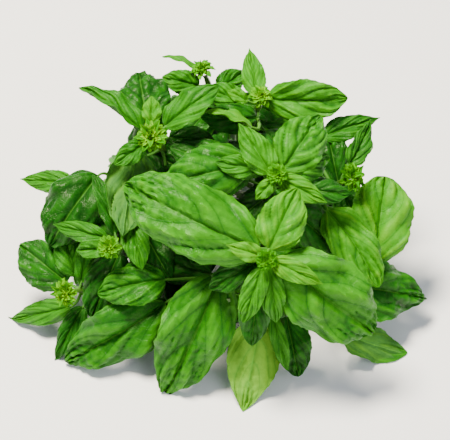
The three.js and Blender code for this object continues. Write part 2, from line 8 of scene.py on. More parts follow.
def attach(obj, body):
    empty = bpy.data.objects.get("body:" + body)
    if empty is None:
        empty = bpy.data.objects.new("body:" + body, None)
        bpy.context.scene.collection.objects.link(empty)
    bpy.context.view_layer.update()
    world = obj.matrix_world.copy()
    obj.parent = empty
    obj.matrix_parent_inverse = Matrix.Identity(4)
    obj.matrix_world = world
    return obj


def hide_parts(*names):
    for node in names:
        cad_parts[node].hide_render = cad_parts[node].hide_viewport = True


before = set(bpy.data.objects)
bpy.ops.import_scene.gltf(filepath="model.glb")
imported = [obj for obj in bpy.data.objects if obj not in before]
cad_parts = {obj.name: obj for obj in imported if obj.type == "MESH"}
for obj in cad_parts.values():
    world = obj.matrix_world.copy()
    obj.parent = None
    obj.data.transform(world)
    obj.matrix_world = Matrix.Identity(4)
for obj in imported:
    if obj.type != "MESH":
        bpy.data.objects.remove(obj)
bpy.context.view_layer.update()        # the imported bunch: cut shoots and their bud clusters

mm = 0.001


# Small helpers
def hexToLinear(code, alpha=1.0):
    levels = [int(code[i:i + 2], 16) / 255 for i in (1, 3, 5)]
    linear = [v / 12.92 if v <= 0.04045 else ((v + 0.055) / 1.055) ** 2.4 for v in levels]
    return (*linear, alpha)


def addNode(tree, kind, links=None, **settings):
    node = tree.nodes.new("ShaderNode" + kind)
    for name, value in settings.items():
        setattr(node, name, value)
    for name, value in (links or {}).items():
        if isinstance(value, bpy.types.NodeSocket):
            tree.links.new(value, node.inputs[name])
        else:
            node.inputs[name].default_value = value
    return node


def startMaterial(name):
    material = bpy.data.materials.new(name)
    material.use_nodes = True
    return material, material.node_tree.nodes["Principled BSDF"]


def selectOnly(*objects):
    bpy.ops.object.select_all(action="DESELECT")
    for item in objects:
        item.select_set(True)
    bpy.context.view_layer.objects.active = objects[0]


def unit(vector):
    return vector / np.linalg.norm(vector)


bpy.ops.object.select_all(action="DESELECT")

# Head of the bunch: [across, up, out] in mm, measured on its leafy face
head = {
    "elevation": math.radians(50),
    "centre": np.array((0.0, -118.0, 60.0)),
}
acrossFace = np.array((1.0, 0.0, 0.0))
upFace = np.array((0.0, math.sin(head["elevation"]), math.cos(head["elevation"])))
outOfFace = np.array((0.0, -math.cos(head["elevation"]), math.sin(head["elevation"])))


def headDirection(place):
    return place[0] * acrossFace + place[1] * upFace + place[2] * outOfFace


def onHead(place):
    return head["centre"] + headDirection(place)


# Camera, floor and lights
studio = {
    "aim": (4, 6, 20),           # mm on the head
    "distance": 2.1,             # metres, so far off that near leaves grow little
    "frameWidth": 0.270,         # metres across the picture at the aim
    "floorSize": 6, "floorDrop": 0.0004,         # metres, just clear of the lowest leaves
    "floorColour": "#FBFBFB",
    "worldColour": "#F2F6FF",
    "worldStrength": 0.4,
    "lightAim": (0, -0.118, 0.05),
    "keyPlace": (-0.34, 0.02, 1.3), "keyPower": 64, "keySize": 0.45, "keyColour": "#FFF6E2",
    "fillPlace": (0.9, -1.2, 0.9), "fillPower": 12, "fillSize": 1.2, "fillColour": "#EEF4FF",
}


def makeCamera():
    data = bpy.data.cameras.new("camera")
    camera = bpy.data.objects.new("camera", data)
    bpy.context.collection.objects.link(camera)
    aim = Vector(onHead(studio["aim"]) * mm)
    back = Vector(outOfFace)
    camera.location = aim + back * studio["distance"]
    camera.rotation_mode = "QUATERNION"
    camera.rotation_quaternion = (-back).to_track_quat("-Z", "Y")
    data.sensor_width = 36
    data.lens = data.sensor_width * studio["distance"] / studio["frameWidth"]
    data.clip_end = 20
    bpy.context.scene.camera = camera


def makeLight(name):
    bpy.ops.object.light_add(type="AREA", location=studio[name + "Place"])
    light = bpy.context.object
    light.name = name
    light.data.energy = studio[name + "Power"]
    light.data.shape = "DISK"
    light.data.size = studio[name + "Size"]
    light.data.color = hexToLinear(studio[name + "Colour"])[:3]
    aim = Vector(studio["lightAim"])
    light.rotation_mode = "QUATERNION"
    light.rotation_quaternion = (aim - light.location).to_track_quat("-Z", "Y")


def makeStudio():
    makeCamera()
    bpy.ops.mesh.primitive_plane_add(size=studio["floorSize"], location=(0, 0, -studio["floorDrop"]))
    floor = bpy.context.object
    floor.name = "paleFloor"
    bpy.ops.object.transform_apply(location=True, rotation=True, scale=True)
    board, shader = startMaterial("mattPaintedBoard")       # bright and even, so that soft shadows show
    shader.inputs["Base Color"].default_value = hexToLinear(studio["floorColour"])
    shader.inputs["Roughness"].default_value = 0.8
    floor.data.materials.append(board)
    world = bpy.data.worlds.new("softStudio")
    bpy.context.scene.world = world
    world.use_nodes = True
    background = world.node_tree.nodes["Background"]
    background.inputs["Color"].default_value = hexToLinear(studio["worldColour"])
    background.inputs["Strength"].default_value = studio["worldStrength"]
    makeLight("key")
    makeLight("fill")
    print("studio ready")


makeStudio()

# The cut shoots, as in the solids, in mm: where the tip is on the head and which way it leans, the row and
# column in the sheaf of stems, and how far under the tip the hidden pairs of leaves sit. A leaf has how far
# under the tip its stalk starts, its base and tip on the head, its width, its tone from 0, old and dark, to
# 1, young and yellow-green, and what is unusual about it. One leaf's tone is raised as painted light.
usual = {"bend": 34, "fold": 24, "curl": 50, "roll": 0, "taper": 0.57}


def leafAt(below, base, tip, width, tone, **own):
    return {"below": below, "base": base, "tip": tip, "width": width, "tone": tone, **usual, **own}


def shootAt(name, tip, lean, row, levels, *leaves):
    return {"name": name, "tip": tip, "lean": lean, "row": row, "levels": levels, "leaves": leaves}


shoots = [
    shootAt("front", (28, -17, 66), (0.05, -0.1, 1), (0, 1), (24, 52),
        leafAt(9, (24, -12, 60), (-54, 26, 52), 49, 0.56, fold=20, curl=70, taper=0.5, roll=-6),
        leafAt(9, (36, -18, 60), (91, -60, 36), 51, 0.56, bend=40, fold=22, curl=66, taper=0.52, roll=8),
        leafAt(6, (30, -11, 63), (46, 23, 60), 29, 0.74, bend=30, taper=0.62),
        leafAt(4, (32, -18, 66), (60, -31, 64), 14, 0.8, bend=30, curl=40, taper=0.8),
        leafAt(4, (25, -15, 66), (6, -9, 68), 12, 0.8, bend=30, curl=40, taper=0.8),
        leafAt(6, (26, -22, 62), (15, -53, 54), 15, 0.62, bend=36, curl=40),
        leafAt(6, (30, -23, 62), (34, -53, 48), 15, 0.58, bend=36, curl=40),
        leafAt(12, (23, -33, 48), (20, -67, 40), 20, 0.3, bend=40, fold=20),
        leafAt(14, (24, -18, 50), (-4, -34, 42), 19, 0.3, bend=40, fold=20)),
    shootAt("upper_middle", (34, 32, 46), (0.15, 0.2, 1), (1, 0.5), (34, 62),
        leafAt(5, (31, 34, 44), (13, 62, 42), 19, 0.62, bend=30, curl=44, taper=0.8),
        leafAt(8, (38, 36, 40), (60, 67, 34), 31, 0.55, fold=20),
        leafAt(6, (39, 34, 42), (65, 43, 36), 21, 0.5, bend=70, fold=20, curl=60),
        leafAt(5, (37, 30, 44), (63, 17, 44), 15, 0.7, bend=30, curl=40, taper=0.8),
        leafAt(4, (32, 29, 46), (23, 19, 48), 10, 0.7, bend=30, curl=40),
        leafAt(22, (48, 24, 32), (77, 22, 28), 18, 0.3, bend=50, fold=14, curl=70),
        leafAt(26, (20, 40, 26), (-32, 28, 30), 38, 0.4, bend=46, fold=18, curl=80),
        leafAt(18, (26, 36, 34), (0, 40, 36), 15, 0.5, bend=40, fold=20),
        leafAt(46, (34, 24, 14), (8, 4, 14), 21, 0.1, bend=40, fold=20)),
    shootAt("upper_left", (-38, 54, 26), (-0.2, 0.25, 1), (1, -0.5), (18, 38),
        leafAt(10, (-47, 60, 16), (-83, 85, 6), 20, 0.42, bend=24, fold=56, curl=24, taper=0.72, roll=42),
        leafAt(9, (-40, 64, 20), (-40, 79, 20), 12, 0.75, bend=24, curl=40),
        leafAt(8, (-32, 62, 20), (-1, 85, 20), 20, 0.5, fold=30, curl=40, roll=-18),
        leafAt(6, (-45, 51, 22), (-61, 40, 26), 14, 0.45, curl=40),
        leafAt(12, (-49, 47, 16), (-57, -2, 30), 31, 0.48, bend=44, fold=14, taper=0.75, roll=172),
        leafAt(16, (-43, 65, 8), (-48, 94, -8), 36, 0.22, bend=44, fold=20, curl=70, taper=0.44),
        leafAt(22, (-30, 56, 4), (-4, 54, 0), 18, 0.2, bend=40, fold=20),
        leafAt(26, (-44, 50, 0), (-16, 32, 4), 22, 0.08, bend=40, fold=20)),
    shootAt("top", (25, 78, 2), (0.1, 0.5, 0.9), (2, 0.4), (18, 36),
        leafAt(4, (23, 82, -2), (19, 109, -12), 15, 0.62, bend=28, fold=26, curl=40, taper=0.85),
        leafAt(6, (30, 79, -2), (77, 80, -6), 27, 0.62, bend=32, fold=26, curl=36, taper=0.62, roll=14),
        leafAt(4, (18, 78, 2), (6, 84, 4), 8, 0.75, bend=28, curl=40),
        leafAt(7, (17, 75, 0), (-6, 86, 2), 17, 0.55, bend=32, fold=22),
        leafAt(11, (23, 68, 0), (-9, 68, 8), 20, 0.35, bend=44, fold=20, curl=60, roll=-14),
        leafAt(16, (20, 62, 12), (-9, 71, 20), 14, 0.75, fold=30, curl=40, taper=0.9, roll=66)),
    shootAt("top_left", (-8, 94, -22), (-0.3, 0.7, 0.6), (2, -0.6), (16, 30, 46),
        leafAt(4, (-13, 98, -24), (-34, 106, -28), 6, 0.6, bend=60, fold=20, curl=30, roll=52),
        leafAt(7, (-12, 88, -24), (-33, 93, -20), 16, 0.5),
        leafAt(8, (0, 86, -26), (15, 96, -24), 16, 0.4)),
    shootAt("right", (77, 30, 5), (0.5, 0.25, 0.8), (1, 1.5), (28, 46, 68),
        leafAt(6, (79, 40, -1), (92, 66, -10), 16, 0.4, bend=24, fold=34, curl=30, taper=0.9, roll=26),
        leafAt(14, (64, 57, -10), (97, 68, -18), 16, 0.4, taper=0.9, roll=-10),
        # this leaf's tone is raised to lighten it where it sits in shade: painted light
        leafAt(16, (66, 12, 8), (96, -33, 10), 30, 0.66, bend=50, fold=26, curl=60, roll=-16),
        leafAt(24, (73, 28, -10), (66, 62, -14), 21, 0.15, bend=40, fold=20),
        leafAt(20, (74, 26, -10), (86, 2, -12), 17, 0.25, bend=40, fold=20)),
    shootAt("left", (-63, -10, 27), (-0.4, 0, 1), (0, -1), (18, 44),
        leafAt(5, (-67, -5, 24), (-98, 3, 14), 13, 0.5, curl=40, taper=0.8),
        leafAt(4, (-67, -11, 25), (-84, -12, 20), 12, 0.55, bend=44, fold=40, curl=30),
        leafAt(7, (-62, -2, 20), (-75, 32, 16), 13, 0.25, bend=36, fold=34, curl=40, roll=24),
        leafAt(12, (-53, 8, 16), (-46, -22, 24), 17, 0.5, curl=40),
        leafAt(18, (-60, -14, 8), (-76, -52, 0), 28, 0.2, bend=40, fold=20),
        leafAt(26, (-48, 4, 2), (-30, -28, 6), 25, 0.1, bend=40, fold=20)),
    shootAt("lower_left", (-88, -37, 2), (-0.6, -0.1, 0.8), (0, -2), (20, 36, 54),
        leafAt(8, (-92, -32, -6), (-120, -10, -16), 32, 0.3, bend=40, fold=16, curl=60),
        leafAt(9, (-86, -28, -6), (-95, -2, -10), 19, 0.45),
        leafAt(5, (-83, -32, 0), (-80, -8, 0), 11, 0.45, bend=30, fold=34, curl=40),
        leafAt(8, (-90, -47, -8), (-128, -55, -34), 16, 0.55, fold=22, taper=1),
        leafAt(8, (-82, -47, -6), (-99, -80, -14), 14, 0.3, bend=50, curl=40, taper=0.9, roll=10)),
    shootAt("bottom", (6, -42, 30), (0, -0.5, 0.8), (0, 0), (24, 48),
        leafAt(8, (0, -28, 30), (-32, -98, 2), 46, 0.5, bend=54, fold=26, curl=66, taper=0.72, roll=-10),
        leafAt(12, (26, -54, 18), (15, -109, 12), 34, 0.95, bend=26, fold=8, curl=34, taper=0.85, roll=176),
        leafAt(8, (32, -50, 24), (41, -83, 16), 10, 0.55, curl=40),
        leafAt(14, (41, -52, 12), (48, -87, 6), 24, 0.25),
        leafAt(22, (-32, -44, 10), (-92, -79, -8), 40, 0.4, bend=54, fold=26, curl=66, taper=0.7, roll=-14),
        leafAt(28, (-32, -30, 12), (-71, -38, 16), 27, 0.45, bend=60, fold=30, curl=60, roll=14)),
    shootAt("lower_right", (66, -42, 4), (0.7, -0.2, 0.6), (0, 2), (20, 36, 54),
        leafAt(8, (80, -34, 2), (126, -42, -22), 38, 0.35, bend=44, curl=60, taper=0.95, roll=-8),
        leafAt(8, (72, -60, 8), (114, -76, -16), 23, 0.5, bend=40, fold=14, roll=160),
        leafAt(14, (94, -20, -8), (101, 31, -8), 40, 0.76, fold=26, curl=40, taper=0.44, roll=8)),
    shootAt("far_left", (-70, 30, -19), (-0.8, 0.3, 0.4), (1, -1.5), (18, 40),
        leafAt(8, (-88, 28, -14), (-120, 31, -26), 15, 0.55, taper=0.9),
        leafAt(10, (-73, 33, -6), (-101, -8, -5), 41, 0.12, bend=76, fold=20, curl=70, roll=6)),
    shootAt("back_right", (62, 60, -42), (0.6, 0.6, 0.1), (2, 1.4), (5, 18, 34, 50)),
    shootAt("back_left", (-46, 72, -50), (-0.5, 0.8, 0), (2, -1.6), (5, 18, 34, 50)),
    shootAt("back_middle", (6, 78, -54), (0.1, 1, -0.1), (3, 0), (5, 20)),
    shootAt("side_left", (-96, 2, -38), (-0.9, 0.1, 0.1), (1, -2.5), (5, 18, 34, 50)),
    shootAt("side_right", (100, -8, -40), (0.9, 0, 0.1), (1, 2.5), (5, 20, 40)),
]

# Stems: the same square stalks and bends as the solids
stalk = {
    "side": 4.4, "tipSide": 2.4, "rowSpacing": 6.2, "rowHeight": 5.4,
    "cutEndFan": 1.12, "cutEndReach": 30, "cutEndStagger": 3, "layerSetback": 2,
    "bendFrom": -12, "bendStagger": 6, "leaveStraight": 0.34, "arriveStraight": 0.36,
    "steps": 200,                # divisions used to measure along the bend
    "nudge": 0.0001,             # share of the bend used to find its direction
}


def bezier(points, q):
    q = np.asarray(q, float)[..., None]
    p0, p1, p2, p3 = points
    return (1 - q) ** 3 * p0 + 3 * (1 - q) ** 2 * q * p1 + 3 * (1 - q) * q ** 2 * p2 + q ** 3 * p3


def stemCurve(shoot):
    layer, column = shoot["row"]
    x = column * stalk["rowSpacing"]
    z = stalk["side"] / 2 + layer * stalk["rowHeight"]
    cutEndY = stalk["cutEndReach"] - abs(column) * stalk["cutEndStagger"] + layer * stalk["layerSetback"]
    cutEnd = np.array((x * stalk["cutEndFan"], cutEndY, z))
    start = np.array((x, stalk["bendFrom"] + layer * stalk["bendStagger"], z))
    tip = onHead(shoot["tip"])
    reach = np.linalg.norm(tip - start)
    leave = start + unit(start - cutEnd) * reach * stalk["leaveStraight"]
    arrive = tip - unit(headDirection(shoot["lean"])) * reach * stalk["arriveStraight"]
    bend = (start, leave, arrive, tip)
    marks = bezier(bend, np.linspace(0, 1, stalk["steps"] + 1))
    lengths = np.concatenate(([0], np.cumsum(np.linalg.norm(np.diff(marks, axis=0), axis=1))))
    return {"cutEnd": cutEnd, "bend": bend, "lengths": lengths}


def stemPlace(curve, below):
    lengths = curve["lengths"]
    target = lengths[-1] * max(1 - below / lengths[-1], 0)
    q = np.interp(target, lengths, np.linspace(0, 1, len(lengths)))
    low, high = max(q - stalk["nudge"], 0), min(q + stalk["nudge"], 1)
    return bezier(curve["bend"], q), unit(bezier(curve["bend"], high) - bezier(curve["bend"], low))


# Leaves: the same blade as the solids, in mm, with s along it and t across its half width
blade = {
    "solidThickness": 0.7, "tipHalfWidth": 0.45, "marginWaves": 2.4, "toothDepth": 0.035,
    "broadWidth": 22, "baseTaper": 0.44,
    "broadStations": (0, 0.1, 0.28, 0.5, 0.72, 0.9, 1), "slimStations": (0, 0.15, 0.45, 0.8, 1),
    "lifts": (0, -4, 4, -8, 8, -12, 12, -17, 17, -23, 23, -30),
    "turns": (0, 12, -12, 24, -24), "shrinks": (1, 0.9, 0.78, 0.65),
    "baseLift": 0.5, "wave": 0.1, "phaseStep": 1.7, "otherHalf": 2,
    "matchWithin": 0.02, "matchShare": 0.5,      # mm, and share of the corners that have to match
}

# Hidden leaves come in pairs along the stems, and give way in mm and degrees until the solids have them
side = {
    "petiole": 11, "length": 50, "growth": 0.36, "tries": 20, "sizes": (1, 0.78, 0.6),
    "pitches": (66, 82, 50, 98, 114), "pairTurn": 45, "turnPerTry": 9, "shortest": 0.74,
    "widths": (0.54, 0.64), "bends": (30, 65), "tones": (0.15, 0.5), "roll": 20, "fold": 22, "curl": 55,
    "wave": 0.05, "goldenStep": 0.618034, "scatter": {"level": 31, "half": 17, "attempt": 5, "up": 3},
}


def halfWidth(leaf, s):
    base, tip = blade["baseTaper"], leaf["taper"]
    widestAt = base / (base + tip)
    ovate = np.power(s, base) * np.power(np.maximum(1 - s, 0), tip)
    return leaf["width"] / 2 * ovate / (widestAt ** base * (1 - widestAt) ** tip)


def turned(vector, axis, angle):
    return np.array(Quaternion(Vector(axis), angle) @ Vector(vector))


def leafFrame(leaf):
    chord = leaf["tip"] - leaf["base"]
    along = unit(chord)
    face = unit(leaf["facing"] - along * np.dot(leaf["facing"], along))
    face = turned(face, along, math.radians(leaf["roll"]))
    return {"length": np.linalg.norm(chord), "along": along, "face": face, "side": np.cross(along, face)}


def bladePoints(leaf, s, t, least):
    shape = leaf["frame"]
    bend, fold, curl = (math.radians(leaf[key]) for key in ("bend", "fold", "curl"))
    arc = shape["length"] * (bend / 2) / math.sin(bend / 2)
    slope = bend / 2 - bend * s
    forward = arc * (math.sin(bend / 2) - np.sin(slope)) / bend
    rise = arc * (np.cos(slope) - math.cos(bend / 2)) / bend
    sectionUp = np.cos(slope)[:, None] * shape["face"] - np.sin(slope)[:, None] * shape["along"]
    width = np.maximum(halfWidth(leaf, s), least)
    tilt = fold - curl * np.abs(t)
    outward = np.sign(t) * width * (math.sin(fold) - np.sin(tilt)) / curl
    shift = leaf["phase"] + np.where(t < 0, blade["otherHalf"], 0)
    wave = np.sin(2 * math.pi * blade["marginWaves"] * s + shift)
    ruffle = leaf["wave"] * wave * t * t * (halfWidth(leaf, s) / leaf["width"]) * 2
    lift = width * (np.cos(tilt) - math.cos(fold)) / curl + ruffle
    points = leaf["base"] + forward[:, None] * shape["along"] + rise[:, None] * shape["face"]
    points = points + outward[:, None] * shape["side"] + lift[:, None] * sectionUp
    normals = np.cos(tilt)[:, None] * sectionUp - (np.sign(t) * np.sin(tilt))[:, None] * shape["side"]
    return points, normals


# The places on a leaf where the solids have corners, to tell which way a leaf was bent clear
def solidCorners(leaf):
    broad = leaf["shown"] and leaf["width"] > blade["broadWidth"]
    stations = blade["broadStations"] if broad else blade["slimStations"]
    s, t = [], []
    for index, station in enumerate(stations[1:], 1):
        tooth = 1 + (blade["toothDepth"] if index % 2 == 0 else -blade["toothDepth"])
        s += [station] * 3
        t += [-tooth, 0, tooth]
    points, normals = bladePoints(leaf, np.array(s, float), np.array(t, float), blade["tipHalfWidth"])
    low = points[:, 2] < blade["solidThickness"] / 2
    points[low, 2] = blade["solidThickness"] / 2
    normals[low] = np.where(normals[low][:, 2:] < 0, (0, 0, -1), (0, 0, 1))
    return points + normals * blade["solidThickness"] / 2


def isInSolid(leaf, tree):
    leaf["frame"] = leafFrame(leaf)
    corners = solidCorners(leaf)
    found = sum(tree.find(Vector(corner))[2] < blade["matchWithin"] for corner in corners)
    return found >= blade["matchShare"] * len(corners)


def shownLeaf(shape, root, index, lift, turn, shrink):
    base = onHead(shape["base"]) + outOfFace * lift * blade["baseLift"]
    tip = onHead(shape["tip"]) + outOfFace * lift
    return {
        **shape, "shown": True, "root": root, "base": base, "tip": tip + (base - tip) * (1 - shrink),
        "facing": outOfFace, "width": shape["width"] * shrink, "roll": shape["roll"] + turn,
        "wave": shape["width"] * blade["wave"], "phase": index * blade["phaseStep"],
    }


def sideLeaf(shoot, below, level, half, size, attempt):
    point, direction = stemPlace(shoot["curve"], below)
    steps = side["scatter"]
    number = level * steps["level"] + half * steps["half"] + attempt * steps["attempt"]
    number += shoot["tip"][0] + shoot["tip"][1] * steps["up"]

    def draw(step, low=0.0, high=1.0):
        return low + (high - low) * (((number + step) * side["goldenStep"]) % 1)

    across = unit(acrossFace - direction * direction[0])
    up = unit(np.cross(across, direction))
    angle = math.radians(level * 90 + half * 180 + side["pairTurn"]
                         + draw(1, -0.5, 0.5) * attempt * side["turnPerTry"])
    outward = across * math.cos(angle) + up * math.sin(angle)
    pitch = math.radians(side["pitches"][attempt % len(side["pitches"])])
    heading = outward * math.sin(pitch) + direction * math.cos(pitch)
    length = (side["length"] + below * side["growth"]) * draw(2, 1, side["shortest"]) * size
    base = point + heading * side["petiole"]
    return {
        "shown": False, "root": point, "base": base, "tip": base + heading * length, "facing": direction,
        "width": length * draw(3, *side["widths"]), "bend": draw(4, *side["bends"]), "fold": side["fold"],
        "curl": side["curl"], "roll": draw(5, -side["roll"], side["roll"]), "wave": length * side["wave"],
        "phase": number, "taper": usual["taper"], "tone": draw(6, *side["tones"]),
    }


def findLeaves(shoot):
    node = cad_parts["shoot_" + shoot["name"]]
    corners = [vertex.co / mm for vertex in node.data.vertices]
    tree = KDTree(len(corners))
    for index, corner in enumerate(corners):
        tree.insert(corner, index)
    tree.balance()
    leaves = []
    for index, entry in enumerate(shoot["leaves"]):
        root = stemPlace(shoot["curve"], entry["below"])[0]
        ways = ((lift, turn, shrink) for shrink in blade["shrinks"] for turn in blade["turns"]
                for lift in blade["lifts"])
        tries = (shownLeaf(entry, root, index, *way) for way in ways)
        leaves += [next(leaf for leaf in tries if isInSolid(leaf, tree))]
    for level, below in enumerate(shoot["levels"]):
        for half in (0, 1):
            tries = (sideLeaf(shoot, below, level, half, size, attempt)
                     for size in side["sizes"] for attempt in range(side["tries"]))
            leaf = next((leaf for leaf in tries if isInSolid(leaf, tree)), None)
            if leaf:
                leaves.append(leaf)
    return leaves


for shoot in shoots:
    shoot["curve"] = stemCurve(shoot)
    shoot["found"] = findLeaves(shoot)
print("leaves found in the solids:", sum(len(shoot["found"]) for shoot in shoots))

# Fresh leaf: waxy skin over soft tissue, so highlights are broad and slightly broken
leafLook = {
    "veinColour": "#4F8F2A", "rimColour": "#478A1C", "tonePlaces": (0.33, 0.66),
    "sheenColour": "#EAF8D2",    # light comes off the damp tissue slightly green
    "ior": 1.45, "roughFrom": (0.35, 0.65),      # blotch levels between the shiniest and the dullest skin
    # mottle is the leaf's own uneven green; the other three paint light on crests and paint shade in creases
    # and between puckers
    "mottle": 0.28, "paintedReliefShade": 0.5, "paintedCreaseShade": -0.12, "paintedPuckerShade": -0.1,
    "usualRidge": 0.58, "usualPucker": 0.35,     # means, taken off so that a leaf keeps its own tone
    "youngDullness": 0.2,        # young leaves are duller than old ones
    "lateralWidth": 0.07,        # share of the spacing of the side veins
    "midribWidth": (0.012, 0.045), "rimFrom": 0.955, "rimShare": 0.4,    # shares of the half width
    "netCells": 24,              # fine net cells along a blade, about 3.5 mm each on a large one
    "netSquash": 0.3, "netWidth": 0.09,
    "puckerSize": 3,             # mm, small puckers between the veins
    "blotchSize": 18,            # mm, uneven ripeness of the green
    "grainSize": 0.9,            # mm, the skin's own grain, drawn coarser than its cells so that it shows
    "netRelief": 0.4, "puckerRelief": 0.9, "lateralRelief": 0.7,        # against 1 for the grain
    "reliefHeight": 0.3, "reliefStrength": 0.6,                          # mm, share
}
leafFaces = {
    "basilLeafUpperFace": {                       # deep green with a waxy shine
        "tones": ("#0D3A08", "#1A5C0A", "#38840A", "#5E9E08"), "roughness": (0.24, 0.38),
        "lateral": 0.0, "midrib": 0.4, "net": 0.05, "sink": -1.0, "specular": 0.2,
    },
    "basilLeafUnderside": {                       # paler and matt, with the veins standing out
        "tones": ("#204A22", "#33662B", "#4C8424", "#6BA02C"), "roughness": (0.5, 0.62),
        "lateral": 0.4, "midrib": 0.6, "net": 0.14, "sink": 1.0, "specular": 0.15,
    },
    "basilBudBract": {                            # tender yellow-green tissue, softly shaded
        "tones": ("#1A5606", "#348404", "#56A202", "#7CB800"), "roughness": (0.42, 0.55),
        "lateral": 0.0, "midrib": 0.2, "net": 0.0, "sink": -1.0, "specular": 0.06,
    },
}


def mathNode(tree, operation, *values):
    return addNode(tree, "Math", dict(enumerate(values)), operation=operation).outputs[0]


def rangeNode(tree, value, low, high, fromLow, fromHigh):
    links = {0: value, 1: fromLow, 2: fromHigh, 3: low, 4: high}
    return addNode(tree, "MapRange", links, interpolation_type="SMOOTHSTEP").outputs[0]


def mixNode(tree, share, first, second):
    return addNode(tree, "Mix", {0: share, 6: first, 7: second}, data_type="RGBA").outputs[2]


def leafMaterial(name):
    look, face = leafLook, leafFaces[name]
    material, shader = startMaterial(name)
    tree = material.node_tree
    place = addNode(tree, "UVMap", uv_map="blade")
    parts = addNode(tree, "SeparateXYZ", {"Vector": place.outputs[0]})
    across = mathNode(tree, "MULTIPLY_ADD", parts.outputs["Y"], 2.0, -1.0)
    reach = mathNode(tree, "ABSOLUTE", across)
    vein = addNode(tree, "Attribute", attribute_name="vein").outputs["Fac"]
    lateral = rangeNode(tree, mathNode(tree, "PINGPONG", vein, 0.5), 1.0, 0.0, 0.0, look["lateralWidth"])
    midrib = rangeNode(tree, reach, 1.0, 0.0, *look["midribWidth"])
    rim = rangeNode(tree, reach, 0.0, look["rimShare"], look["rimFrom"], 1.0)
    squashed = mathNode(tree, "MULTIPLY", across, look["netSquash"])
    flat = addNode(tree, "CombineXYZ", {0: parts.outputs["X"], 1: squashed})
    net = addNode(tree, "TexVoronoi", {"Vector": flat.outputs[0], "Scale": look["netCells"]},
                  feature="DISTANCE_TO_EDGE")
    netVein = rangeNode(tree, net.outputs["Distance"], 1.0, 0.0, 0.0, look["netWidth"])
    where = addNode(tree, "TexCoord").outputs["Object"]
    blotch = addNode(tree, "TexNoise",
                     {"Vector": where, "Scale": 1 / (look["blotchSize"] * mm), "Detail": 3.0}).outputs[0]
    pucker = addNode(tree, "TexVoronoi",
                     {"Vector": where, "Scale": 1 / (look["puckerSize"] * mm), "Smoothness": 0.5},
                     feature="SMOOTH_F1").outputs["Distance"]
    tone = addNode(tree, "Attribute", attribute_name="tone").outputs["Fac"]
    # the ridge level carries painted light and shade: high on crests, low in creases
    ridge = addNode(tree, "Attribute", attribute_name="ridge").outputs["Fac"]
    # painted light on the crests between the veins, painted shade in the side-vein creases and between the
    # small puckers
    level = mathNode(tree, "MULTIPLY_ADD", blotch, look["mottle"], tone)
    level = mathNode(tree, "MULTIPLY_ADD", ridge, look["paintedReliefShade"], level)
    level = mathNode(tree, "MULTIPLY_ADD", lateral, look["paintedCreaseShade"], level)
    level = mathNode(tree, "MULTIPLY_ADD", pucker, look["paintedPuckerShade"], level)
    middle = look["mottle"] / 2 + look["paintedReliefShade"] * look["usualRidge"]
    middle += look["paintedPuckerShade"] * look["usualPucker"]
    level = mathNode(tree, "SUBTRACT", level, middle)
    ramp = addNode(tree, "ValToRGB", {"Fac": level})
    ramp.color_ramp.elements[0].color = hexToLinear(face["tones"][0])
    ramp.color_ramp.elements[1].color = hexToLinear(face["tones"][3])
    for position, colour in zip(look["tonePlaces"], face["tones"][1:3]):
        ramp.color_ramp.elements.new(position).color = hexToLinear(colour)
    veins = mathNode(tree, "MULTIPLY", lateral, face["lateral"])
    veins = mathNode(tree, "MULTIPLY_ADD", midrib, face["midrib"], veins)
    veins = mathNode(tree, "MULTIPLY_ADD", netVein, face["net"], veins)
    veined = mixNode(tree, veins, ramp.outputs[0], hexToLinear(look["veinColour"]))
    colour = mixNode(tree, rim, veined, hexToLinear(look["rimColour"]))
    tree.links.new(colour, shader.inputs["Base Color"])
    # veins are sunk on the upper face and stand out underneath
    grain = addNode(tree, "TexNoise", {"Vector": where, "Scale": 1 / (look["grainSize"] * mm)})
    height = mathNode(tree, "MULTIPLY_ADD", netVein, look["netRelief"] * face["sink"], grain.outputs[0])
    height = mathNode(tree, "MULTIPLY_ADD", pucker, look["puckerRelief"] * face["sink"], height)
    height = mathNode(tree, "MULTIPLY_ADD", lateral, look["lateralRelief"] * face["sink"], height)
    bump = addNode(tree, "Bump", {"Height": height, "Strength": look["reliefStrength"],
                                  "Distance": look["reliefHeight"] * mm})
    tree.links.new(bump.outputs[0], shader.inputs["Normal"])
    rough = rangeNode(tree, blotch, *face["roughness"], *look["roughFrom"])
    rough = mathNode(tree, "MULTIPLY_ADD", tone, look["youngDullness"], rough)
    tree.links.new(rough, shader.inputs["Roughness"])
    shader.inputs["IOR"].default_value = look["ior"]
    shader.inputs["Specular IOR Level"].default_value = face["specular"]
    shader.inputs["Specular Tint"].default_value = hexToLinear(look["sheenColour"])
    return material


leafUpper, leafUnder, bractFace = (leafMaterial(name) for name in leafFaces)

# A flat pattern leaf, modelled once: x is s, y is t, z is half a thickness up or down
pattern = {
    "broad": (60, 34), "slim": (36, 20), "bract": (5, 4),
    "petioleSides": 10, "petioleRings": 9, "petioleSpot": (0.02, 0.5),      # its place in the colouring
    "rowShift": 0.02,            # more rows near the base and the tip
    "marginPower": 1.25,         # more columns near the margin
    "underside": -0.4,           # faces below this belong to the underside
    "shades": ("tone", "ridge", "vein"),
}


def placesOf(mesh):
    places = np.empty(len(mesh.vertices) * 3)
    mesh.vertices.foreach_get("co", places)
    return places.reshape(-1, 3)


def unfold(mesh, along, across):
    corner = np.empty(len(mesh.loops), dtype=int)
    mesh.loops.foreach_get("vertex_index", corner)
    mesh.uv_layers[0].name = "blade"
    mesh.uv_layers[0].data.foreach_set("uv", np.stack((along[corner], across[corner]), axis=1).ravel())


